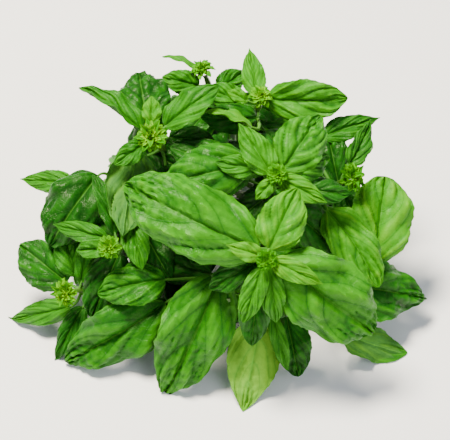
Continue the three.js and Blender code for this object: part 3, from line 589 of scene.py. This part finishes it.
# A round rod along x from the origin, one way or the other, cut into rings
def makeRod(sides, rings, way):
    bpy.ops.mesh.primitive_cylinder_add(vertices=sides, radius=1, depth=1,
                                        rotation=(0, math.pi / 2, 0), location=(way / 2, 0, 0))
    rod = bpy.context.object
    bpy.ops.object.transform_apply(location=True, rotation=True, scale=True)
    bpy.ops.object.mode_set(mode="EDIT")
    for ring in range(1, rings):
        bpy.ops.mesh.select_all(action="SELECT")
        bpy.ops.mesh.bisect(plane_co=(way * ring / rings, 0, 0), plane_no=(1, 0, 0))
    bpy.ops.object.mode_set(mode="OBJECT")
    return rod


def makePattern(name, cells, withPetiole):
    along, across = cells
    bpy.ops.mesh.primitive_grid_add(x_subdivisions=along, y_subdivisions=across, size=2)
    leaf = bpy.context.object
    leaf.name = name
    sheet = leaf.modifiers.new("thickness", "SOLIDIFY")
    sheet.thickness = 1
    sheet.offset = 0
    bpy.ops.object.modifier_apply(modifier=sheet.name)
    places = placesOf(leaf.data)
    s = (places[:, 0] + 1) / 2
    t = places[:, 1]
    places[:, 0] = s - pattern["rowShift"] * np.sin(4 * math.pi * s)
    places[:, 1] = np.sign(t) * (1 - (1 - np.abs(t)) ** pattern["marginPower"])
    leaf.data.vertices.foreach_set("co", places.ravel())
    unfold(leaf.data, places[:, 0], (places[:, 1] + 1) / 2)
    leaf.data.materials.append(leafUpper if withPetiole else bractFace)
    leaf.data.materials.append(leafUnder if withPetiole else bractFace)
    for polygon in leaf.data.polygons:
        polygon.material_index = 1 if polygon.center.z < pattern["underside"] else 0
    if withPetiole:
        petiole = makeRod(pattern["petioleSides"], pattern["petioleRings"], -1)
        unfold(petiole.data, *(np.full(len(petiole.data.vertices), spot) for spot in pattern["petioleSpot"]))
        petiole.data.materials.append(leafUpper)
        petiole.data.materials.append(leafUnder)
        petiole.data.polygons.foreach_set("material_index", np.ones(len(petiole.data.polygons), dtype=int))
        selectOnly(leaf, petiole)
        bpy.ops.object.join()
    for attribute in pattern["shades"]:
        leaf.data.attributes.new(attribute, "FLOAT", "POINT")
    selectOnly(leaf)
    bpy.ops.object.shade_smooth()
    return leaf


broadPattern = makePattern("broadLeafPattern", pattern["broad"], True)
slimPattern = makePattern("slimLeafPattern", pattern["slim"], True)
bractPattern = makePattern("bractPattern", pattern["bract"], False)
print("leaf patterns ready")

fine = {
    "thickness": 0.5, "rim": 0.3,            # mm at the middle and at the margin
    "tipHalfWidth": 0.25,                    # mm
    "fullWidth": 14,                         # mm, narrower leaves are thinner
    "broadFrom": 12,                         # mm, broader leaves have the finer mesh
    "smoothUpTo": 50,                        # degrees between faces
    "petioleRadius": 0.95, "petioleTaper": (1.15, 0.35), "petioleBend": 0.4, "petioleSunk": 1.5,
    "petioleShade": 0.5, "floorGap": 0.02,
    "teeth": 21, "toothDepth": 0.02, "toothRun": 6, "toothPower": 3,
    "keel": 0.75, "keelWidth": 0.8, "keelFade": 0.8,      # mm, the midrib stands out underneath
    "point": 1.6, "pointFrom": 0.93,         # mm that the tip is drawn out, and where that starts
}
veinPath = {
    "pairs": 4.3, "spread": 0.6,             # pairs of side veins, and how far a leaf may differ
    "youngPairs": 1.2, "youngWidth": 32,     # more of them on a leaf narrower than this many mm
    "sweep": 0.6, "curve": 1.35,             # how far forward a vein has run at the margin, and how it bows
    "apart": 0.22, "apartFrom": 3,           # how far the veins of the two halves miss each other
    "wander": 0.13, "wanderAcross": 6.3, "wanderAlong": 5.1,      # share of the spacing, radians per share
    "uneven": 0.16, "unevenEvery": 2.3,
}
relief = {
    "fullHalfWidth": 3,                      # mm, narrower parts are flatter
    "quiltRise": 6, "foldRise": 5,           # flat at the base of the blade, full from 1/6 or 1/5 of it
    "quilt": 0.044, "youngQuilt": 0.058,     # heights from here on are shares of the leaf's width
    "youngWidth": 20,                        # mm
    "pillowPower": 0.62, "blisterPower": 0.8,
    "blister": 4.6,                          # mm between the small blisters along a side vein
    "blisterStep": 0.37, "blisterHalf": 0.3,      # shifts from vein to vein and from half to half
    "broken": (0.35, 0.6, 0.25), "brokenRange": (0.2, 0.95),      # how far blisters break up the pillows
    "midrib": 0.11,                          # share of the half width that stays flat at the midrib
    "fold": 0.028, "foldEvery": 0.87,        # broad folds follow every second side vein or so
    "foldFrom": 2.5, "marginFade": 6, "marginShare": 0.6,
    "crumple": 0.025, "crumpleFrom": 6,      # bumps of no one direction, full from 6 mm of half width
    "crumpleAtBase": 0.08, "crumplePower": 2.2, "crumpleSpread": (0.75, 0.5), "warps": (1.9, 1.7),
    "bumpAlong": 1.25, "bumpAcross": 1.4, "warpAlong": 2.9, "warpAcross": 2.3,      # mm per radian
    "swell": 0.026, "swellAlong": 7.1, "swellAcross": 2.4,        # slow waves of the blade
    "slant": 0.7, "slantAcross": 4.7, "slantAlong": 5,
    "ripple": 0.009, "rippleAlong": 11,      # waves of the margin, in half turns along the blade
    "groove": 0.7, "grooveWidth": 1.3, "grooveFade": 0.6,         # mm, on the midrib
    # levels of painted light and shade: lighter on quilted crests, folds and crumples, darker in the creases
    "tones": {"floor": 0.05, "quilt": 0.5, "fold": 0.2, "crumple": 0.4},
    "youngPaintedShade": (0.2, 0.65),               # young leaves differ less between crest and crease
    "ownShift": 0.37, "otherHalf": 2.6,      # radians, so that no two leaves or halves are alike
}


# Which side vein is nearest: a whole number on a vein, and between two numbers in between
def veinNumber(leaf, s, t, own):
    reach = np.abs(t)
    isYoung = leaf["width"] < veinPath["youngWidth"]
    pairs = veinPath["pairs"] + veinPath["spread"] * math.sin(own * 5) + isYoung * veinPath["youngPairs"]
    number = pairs * (s - veinPath["sweep"] * reach ** veinPath["curve"])
    number += veinPath["apart"] * np.sign(t) * np.minimum(1, reach * veinPath["apartFrom"])
    wander = np.sin(veinPath["wanderAcross"] * reach + veinPath["wanderAlong"] * s + own) * reach
    number += veinPath["wander"] * wander
    half = np.where(t < 0, relief["otherHalf"], 0)
    return number + veinPath["uneven"] * np.sin(veinPath["unevenEvery"] * number + own + half)


# Crumpled tissue, mostly near the tip
def crumples(leaf, s, t, own):
    down, over = s * leaf["frame"]["length"], t * halfWidth(leaf, s)
    half = np.where(t < 0, relief["otherHalf"], 0)
    warpOver = relief["warps"][0] * np.sin(over / relief["warpAcross"] + own)
    warpDown = relief["warps"][1] * np.sin(down / relief["warpAlong"] + own * 2)
    bumps = np.sin(down / relief["bumpAlong"] + warpOver + half)
    bumps *= np.sin(over / relief["bumpAcross"] + warpDown)
    least, spread = relief["crumpleAtBase"], relief["crumpleSpread"]
    share = least + (1 - least) * s ** relief["crumplePower"]
    share *= spread[0] + spread[1] * math.sin(own * 2.7 + 3)
    return bumps * share * np.minimum(1, halfWidth(leaf, s) / relief["crumpleFrom"])


# Pillows between the side veins, broken up into blisters, from 0 in a crease to 1 on a crest
def quiltRidge(s, t, local, vein, own):
    reach = np.abs(t)
    pillow = np.abs(np.sin(math.pi * vein)) ** relief["pillowPower"]
    along = reach * local / relief["blister"] + np.floor(vein) * relief["blisterStep"]
    along += np.where(t < 0, relief["blisterHalf"], 0)
    blister = np.abs(np.sin(math.pi * along)) ** relief["blisterPower"]
    usualShare, towardsTip, uneven = relief["broken"]
    broken = usualShare + towardsTip * s + uneven * np.sin(own * 7 + 3 * s)
    broken = np.clip(broken, *relief["brokenRange"])
    beside = 1 - np.exp(-(reach / relief["midrib"]) ** 2)
    return pillow * (1 - broken + broken * blister) * beside


# Slow waves of the blade and of its margin, as shares of the width
def slowWaves(s, t, own):
    waves = np.sin(relief["swellAlong"] * s + own * 2.3) * np.cos(relief["swellAcross"] * t + own)
    waves += relief["slant"] * np.sin(relief["slantAcross"] * t - relief["slantAlong"] * s + own)
    margin = np.sin(relief["rippleAlong"] * math.pi * s + own * 3 + np.where(t < 0, 1.7, 0)) * t ** 4
    return relief["swell"] * waves * np.sin(math.pi * s) + relief["ripple"] * margin


# Height of the blade above its smooth form: quilted between the side veins, with a groove on the midrib, and
# the painted light and shade that go with it.
# The factors of own only shift the waves, so that no two leaves are alike.
def bladeRelief(leaf, s, t):
    reach, local, width = np.abs(t), halfWidth(leaf, s), leaf["width"]
    slim = np.minimum(1, local / relief["fullHalfWidth"])
    own = leaf["phase"] + leaf["base"][0] * relief["ownShift"]
    vein = veinNumber(leaf, s, t, own)
    ridge = quiltRidge(s, t, local, vein, own)
    atMargin = reach ** relief["marginFade"]
    quilt = relief["youngQuilt"] if width < relief["youngWidth"] else relief["quilt"]
    quilted = ridge * (1 - relief["marginShare"] * atMargin) * np.minimum(1, s * relief["quiltRise"])
    folds = np.sin(math.pi * relief["foldEvery"] * vein + own * 1.9)
    folds *= np.minimum(1, reach * relief["foldFrom"]) * (1 - atMargin)
    folded = folds * np.minimum(1, s * relief["foldRise"])
    crumpled = crumples(leaf, s, t, own)
    height = (quilt * quilted + relief["fold"] * folded + slowWaves(s, t, own)) * slim
    height += relief["crumple"] * crumpled * (1 - reach ** 4)
    groove = relief["groove"] * np.exp(-(reach * local / relief["grooveWidth"]) ** 2)
    groove *= 1 - relief["grooveFade"] * s
    # painted light and shade that follow the relief, returned as the ridge level
    tones = relief["tones"]
    raised = tones["floor"] + tones["quilt"] * ridge + tones["fold"] * (1 + folds)
    raised = np.clip(raised + tones["crumple"] * crumpled, 0, 1)
    if width <= relief["youngWidth"]:
        raised = relief["youngPaintedShade"][0] + relief["youngPaintedShade"][1] * raised
    return width * height - groove * slim, raised, vein


# The petiole runs from inside the stem into the base of the blade
def posedPetiole(leaf, places, scale):
    q = np.clip(places[:, :1] + 1, 0, 1)
    bend, shape = math.radians(leaf["bend"]), leaf["frame"]
    into = shape["along"] * math.cos(bend / 2) + shape["face"] * math.sin(bend / 2)
    end = leaf["base"] + into * fine["petioleSunk"]
    bendPoint = leaf["base"] - into * np.linalg.norm(leaf["base"] - leaf["root"]) * fine["petioleBend"]
    centre = (1 - q) ** 2 * leaf["root"] + 2 * q * (1 - q) * bendPoint + q ** 2 * end
    turn = Vector(shape["along"]).rotation_difference(Vector(unit(end - leaf["root"])))
    sideways = np.array(turn @ Vector(shape["side"]))
    upward = np.array(turn @ Vector(shape["face"]))
    radius = fine["petioleRadius"] * scale * (fine["petioleTaper"][0] - fine["petioleTaper"][1] * q)
    return centre + (places[:, 1:2] * sideways + places[:, 2:3] * upward) * radius


def posedLeaf(leaf, places):
    s, t, h = places[:, 0], places[:, 1], places[:, 2] * 2
    isBlade = s >= 0
    inBlade, inside = np.clip(s, 0, 1), np.clip(t, -1, 1)
    scale = min(1, leaf["width"] / fine["fullWidth"])
    teeth = np.sin(math.pi * fine["teeth"] * inBlade) ** fine["toothPower"]
    teeth = 1 + fine["toothDepth"] * np.abs(t) ** fine["toothRun"] * teeth
    points, normals = bladePoints(leaf, inBlade, inside * teeth, fine["tipHalfWidth"])
    thick = (fine["thickness"] + (fine["rim"] - fine["thickness"]) * np.abs(t) ** 3) / 2
    local = np.maximum(halfWidth(leaf, inBlade), fine["tipHalfWidth"])
    keel = fine["keel"] * np.exp(-(t * local / fine["keelWidth"]) ** 2) * (1 - fine["keelFade"] * inBlade)
    raised, ridge, vein = bladeRelief(leaf, inBlade, inside)
    posed = points + normals * (raised + h * (thick + np.where(h < 0, keel, 0)) * scale)[:, None]
    drawn = np.clip((inBlade - fine["pointFrom"]) / (1 - fine["pointFrom"]), 0, 1) ** 2
    posed += leaf["frame"]["along"] * (fine["point"] * scale * drawn)[:, None]
    posed = np.where(isBlade[:, None], posed, posedPetiole(leaf, places, scale))
    posed[:, 2] = np.maximum(posed[:, 2], np.where(h > 0, fine["thickness"], fine["floorGap"]))
    # the petiole gets a middle level of the painted light and shade
    ridge, vein = (np.where(isBlade, shade, fine["petioleShade"]) for shade in (ridge, vein))
    return posed * mm, ridge, vein


def placeCopy(source, name, posing, tone):
    selectOnly(source)
    bpy.ops.object.duplicate()
    copy = bpy.context.object
    copy.name = name
    posed, ridge, vein = posing(placesOf(copy.data))
    copy.data.vertices.foreach_set("co", posed.ravel())
    for attribute, values in zip(pattern["shades"], (np.full(len(ridge), tone), ridge, vein)):
        copy.data.attributes[attribute].data.foreach_set("value", values)
    return copy


def joinAs(name, copies):
    selectOnly(*copies)
    if len(copies) > 1:
        bpy.ops.object.join()
    piece = bpy.context.object
    piece.name = name
    piece.data.name = name
    bpy.ops.object.shade_smooth_by_angle(angle=math.radians(fine["smoothUpTo"]))
    piece.data.update()
    return piece


for shoot in shoots:
    copies = []
    for leaf in shoot["found"]:
        source = broadPattern if leaf["shown"] and leaf["width"] > fine["broadFrom"] else slimPattern
        copies.append(placeCopy(source, "leaf", lambda places: posedLeaf(leaf, places), leaf["tone"]))
    piece = joinAs("leaves_" + shoot["name"], copies)
    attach(piece, "root")
    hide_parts("shoot_" + shoot["name"])
print("leaves placed")

# Stems: square, with rounded corners and a swelling where each leaf starts
stem = {
    "sides": 20, "rings": 90, "squareness": 5, "swelling": 0.55, "swellingLength": 2.2,
    "colours": ("#38681A", "#558228"), "cutColours": ("#A9B77A", "#6C8A40"),
    "roughness": 0.42, "cutRoughness": 0.55,
    "streaks": (3, 40, 1),       # fibres run along the stalk, many round it
    "streakHeight": 0.3, "streakStrength": 0.3,           # mm, share
    "pithCell": 0.45,            # mm
    "cutFacing": -0.9,           # faces turned this far back along the stalk are its cut end
    "nudge": 0.0005,             # share of the bend used to find its direction
}


# Pale juicy green with faint fibres, between waxy and matt
def stemMaterial():
    material, shader = startMaterial("greenSquareStem")
    tree = material.node_tree
    place = addNode(tree, "UVMap", uv_map="blade")
    streaks = addNode(tree, "Mapping", {"Vector": place.outputs[0], "Scale": stem["streaks"]})
    fibre = addNode(tree, "TexNoise", {"Vector": streaks.outputs[0], "Scale": 1.0, "Detail": 4.0})
    colour = mixNode(tree, fibre.outputs[0], *(hexToLinear(code) for code in stem["colours"]))
    tree.links.new(colour, shader.inputs["Base Color"])
    bump = addNode(tree, "Bump", {"Height": fibre.outputs[0], "Strength": stem["streakStrength"],
                                  "Distance": stem["streakHeight"] * mm})
    tree.links.new(bump.outputs[0], shader.inputs["Normal"])
    shader.inputs["Roughness"].default_value = stem["roughness"]
    return material


# Damp pith, paler than the skin, with cells that just show
def cutMaterial():
    material, shader = startMaterial("freshCutPith")
    tree = material.node_tree
    where = addNode(tree, "TexCoord").outputs["Object"]
    pith = addNode(tree, "TexVoronoi", {"Vector": where, "Scale": 1 / (stem["pithCell"] * mm)})
    colour = mixNode(tree, pith.outputs["Distance"], *(hexToLinear(code) for code in stem["cutColours"]))
    tree.links.new(colour, shader.inputs["Base Color"])
    shader.inputs["Roughness"].default_value = stem["cutRoughness"]
    return material


def makeStemPattern():
    rod = makeRod(stem["sides"], stem["rings"], 1)
    rod.name = "stemPattern"
    places = placesOf(rod.data)
    unfold(rod.data, places[:, 0], np.abs(np.arctan2(places[:, 2], places[:, 1]) / math.pi))
    for attribute in pattern["shades"]:
        rod.data.attributes.new(attribute, "FLOAT", "POINT")
    rod.data.materials.append(stemMaterial())
    rod.data.materials.append(cutMaterial())
    for polygon in rod.data.polygons:
        polygon.material_index = 1 if polygon.normal.x < stem["cutFacing"] else 0
    return rod


def posedStem(shoot, places):
    curve = shoot["curve"]
    start, total = curve["bend"][0], curve["lengths"][-1]
    straight = np.linalg.norm(start - curve["cutEnd"])
    run = places[:, 0] * (straight + total)
    q = np.interp(run - straight, curve["lengths"], np.linspace(0, 1, len(curve["lengths"])))
    lead = (run / straight)[:, None]
    centre = np.where(run[:, None] < straight, curve["cutEnd"] + (start - curve["cutEnd"]) * lead,
                      bezier(curve["bend"], q))
    low, high = np.clip(q - stem["nudge"], 0, 1), np.clip(q + stem["nudge"], 0, 1)
    ahead = bezier(curve["bend"], high) - bezier(curve["bend"], low)
    direction = ahead / np.linalg.norm(ahead, axis=1)[:, None]
    across = acrossFace - direction * direction[:, :1]
    across /= np.linalg.norm(across, axis=1)[:, None]
    up = np.cross(across, direction)
    width = stalk["side"] + (stalk["tipSide"] - stalk["side"]) * np.clip(q, 0, 1)
    y, z = places[:, 1], places[:, 2]
    power = stem["squareness"]
    square = 1 / (np.abs(y) ** power + np.abs(z) ** power) ** (1 / power)
    for leaf in shoot["found"]:
        nearest = np.linalg.norm(centre - leaf["root"], axis=1)
        width = width + stem["swelling"] * np.exp(-(nearest / stem["swellingLength"]) ** 2)
    size = (width / 2 * square)[:, None]
    posed = centre + (y[:, None] * across + z[:, None] * up) * size
    posed[:, 2] = np.maximum(posed[:, 2], 0)
    return posed * mm, np.zeros(len(posed)), np.zeros(len(posed))


stemPattern = makeStemPattern()
for shoot in shoots:
    piece = joinAs("stem_" + shoot["name"],
                   [placeCopy(stemPattern, "stem", lambda places: posedStem(shoot, places), 0.5)])
    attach(piece, "root")
    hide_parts("shoot_" + shoot["name"])
print("stems placed")

# Bud clusters: pointed bracts open round a dome of small curled ones. Sizes are in mm.
buds = [
    {"on": "front", "size": 7, "bracts": 5, "tone": 0.55},
    {"on": "upper_middle", "size": 7, "bracts": 5, "tone": 0.6},
    {"on": "upper_left", "size": 13, "bracts": 9, "tone": 1.0},
    {"on": "top", "size": 8, "bracts": 6, "tone": 0.95},
    {"on": "top_left", "size": 8, "bracts": 5, "tone": 0.7},
    {"on": "right", "size": 11, "bracts": 7, "tone": 0.7},
    {"on": "left", "size": 8, "bracts": 6, "tone": 0.85},
    {"on": "lower_left", "size": 11, "bracts": 8, "tone": 1.0},
]
cluster = {
    "goldenAngle": math.pi * (3 - math.sqrt(5)), "coreShare": 0.38, "seatHeight": 1.2,
    "fold": 40, "curl": 26, "wave": 0.1, "phaseStep": 1.3,
}
openBract = {                    # pairs run from the middle of the cluster outwards
    "openings": (0.15, 1.4), "lengths": (1, 0.75), "width": 0.44, "bend": 40, "taper": 0.8,
    "seat": 0.3, "shortened": 0.2, "tone": 0.6, "toneFall": 0.4,
}
curledBract = {
    "count": 30, "countPerMm": 8, "opening": 1.5, "spread": 0.55, "lengths": (2.4, 4.4), "width": 0.85,
    "fullSize": 9, "sizeShare": 0.2,             # smaller clusters have smaller bracts
    "bend": 100, "taper": 0.55, "tilt": 0.5, "seat": 0.85, "seatSpread": 0.3,
    "toneFall": 0.35, "toneSpread": 0.1,
}


# Which way a bract points and which way its upper face is turned
def bractDirections(axis, across, around, opening):
    outward = across * math.cos(around) + np.cross(axis, across) * math.sin(around)
    heading = axis * math.cos(opening) + outward * math.sin(opening)
    return heading, unit(axis * math.sin(opening) - outward * math.cos(opening))


def bractLeaf(kind, number, base, heading, facing, length, width, tone):
    leaf = {
        "base": base, "tip": base + heading * length, "facing": facing, "root": base, "tone": tone,
        "width": width, "bend": kind["bend"], "taper": kind["taper"], "fold": cluster["fold"],
        "curl": cluster["curl"], "roll": 0, "wave": width * cluster["wave"],
        "phase": number * cluster["phaseStep"],
    }
    leaf["frame"] = leafFrame(leaf)
    return leaf


def budLeaves(bud, shoot):
    axis = unit(headDirection(shoot["lean"]))
    across = unit(acrossFace - axis * axis[0])
    size = bud["size"]
    core = size * cluster["coreShare"]
    seat = onHead(shoot["tip"]) + axis * (core + cluster["seatHeight"])
    leaves = []
    for number in range(bud["bracts"]):
        share = number / bud["bracts"]
        opening = np.interp(math.sqrt(share), (0, 1), openBract["openings"])
        heading, facing = bractDirections(axis, across, number * cluster["goldenAngle"], opening)
        length = size * np.interp(share, (0, 1), openBract["lengths"]) - core * openBract["shortened"]
        tone = bud["tone"] * (openBract["tone"] - openBract["toneFall"] * share)
        leaves.append(bractLeaf(openBract, number, seat + heading * core * openBract["seat"], heading, facing,
                                length, size * openBract["width"], tone))
    count = int(curledBract["count"] + curledBract["countPerMm"] * size)
    for number in range(count):
        share = (number + 0.5) / count
        opening = curledBract["opening"] * share ** curledBract["spread"]
        heading, facing = bractDirections(axis, across, number * cluster["goldenAngle"], opening)
        length = np.interp(share, (0, 1), curledBract["lengths"])
        length *= min(1.0, size / curledBract["fullSize"] + curledBract["sizeShare"])
        tilted = unit(heading + facing * curledBract["tilt"] * math.sin(number * 2.1))
        height = curledBract["seat"] + curledBract["seatSpread"] * math.sin(number * 1.7)
        tone = 1.0 - curledBract["toneFall"] * share + curledBract["toneSpread"] * math.sin(number)
        leaves.append(bractLeaf(curledBract, number, seat + heading * core * height, tilted, facing,
                                length, length * curledBract["width"], bud["tone"] * tone))
    return leaves


for bud in buds:
    shoot = next(shoot for shoot in shoots if shoot["name"] == bud["on"])
    copies = [placeCopy(bractPattern, "bract", lambda places: posedLeaf(leaf, places), leaf["tone"])
              for leaf in budLeaves(bud, shoot)]
    piece = joinAs("bracts_" + bud["on"], copies)
    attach(piece, "root")
    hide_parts("buds_" + bud["on"])
print("bud clusters placed")

for source in (broadPattern, slimPattern, bractPattern, stemPattern):
    bpy.data.objects.remove(source)
